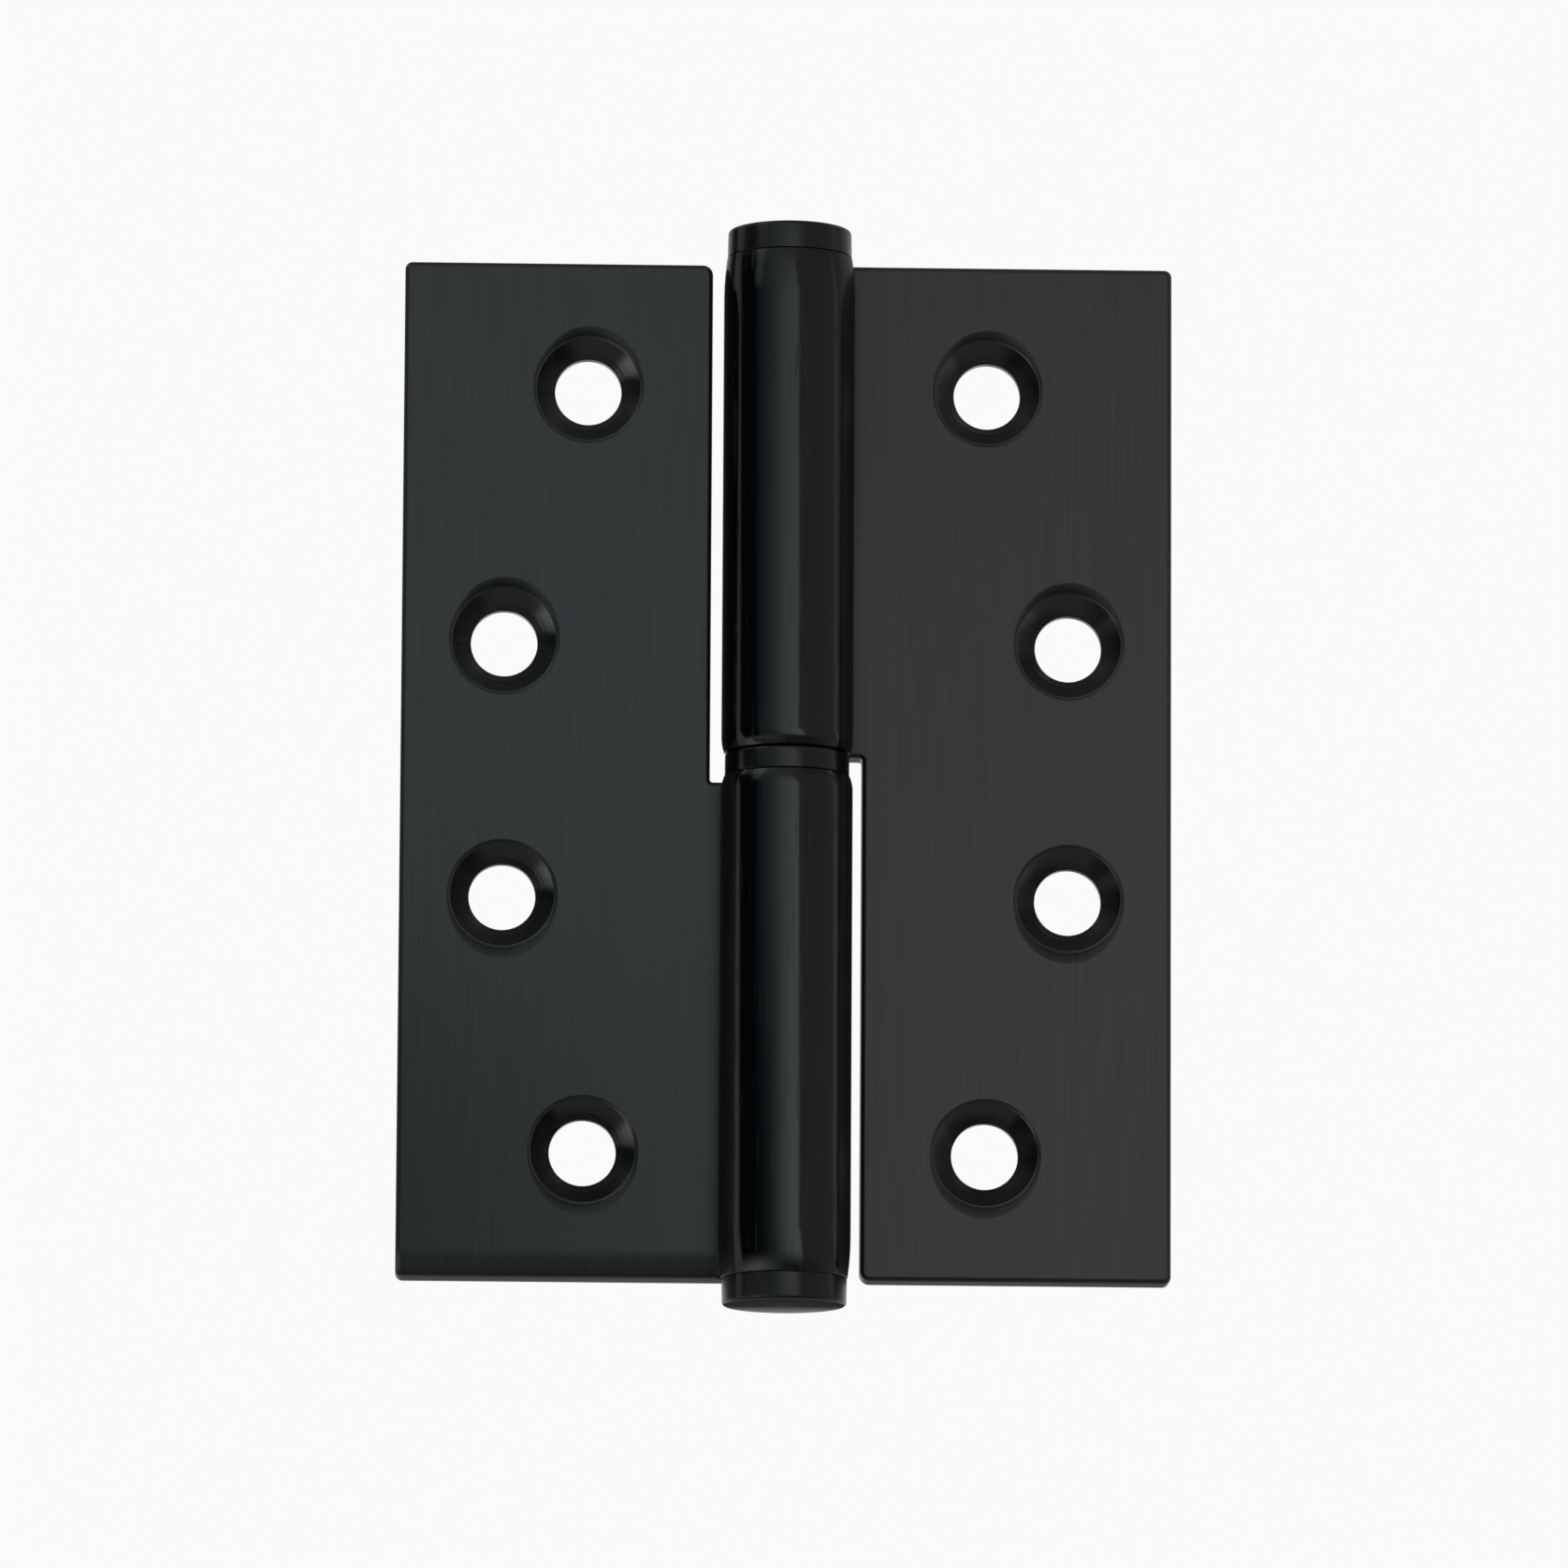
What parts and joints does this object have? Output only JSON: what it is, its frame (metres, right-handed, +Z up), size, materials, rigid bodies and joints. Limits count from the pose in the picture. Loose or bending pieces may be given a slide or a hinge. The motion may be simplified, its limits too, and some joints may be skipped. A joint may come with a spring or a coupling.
{
  "type": "lift-off hinge",
  "caption": "Black lift-off door hinge: two countersunk leaves rolled into knuckles, the upper turning on a pin fixed in the lower, with a bearing washer and end caps.",
  "frame": {"origin": "on the pin axis at mid height, which is the middle of the bearing washer and of the whole hinge", "axes": "+Z up along the pin, the way the door leaf lifts off; +X from the frame leaf across to the door leaf, opened flat; -Y out of the countersunk faces"},
  "size_m": [0.075, 0.0128, 0.1056],
  "materials": {
    "leaf_steel": "satin",
    "collar_steel": "polished",
    "pin_steel": "polished"
  },
  "bodies": {
    "frame_side": {"frame_leaf": "leaf_steel", "hinge_pin": "pin_steel", "lower_cap": "collar_steel"},
    "washer": {"bearing_washer": "collar_steel"},
    "door_side": {"door_leaf": "leaf_steel", "upper_cap": "collar_steel"}
  },
  "joints": [
    {"name": "swing", "type": "hinge", "parent": "frame_side", "child": "washer", "pos_m": [0, 0, 0], "axis": [0, 0, 1], "range_deg": [-180, 90]},
    {"name": "lift_off", "type": "slide", "parent": "washer", "child": "door_side", "axis": [0, 0, 1], "range_m": [0, 0.045]}
  ]
}
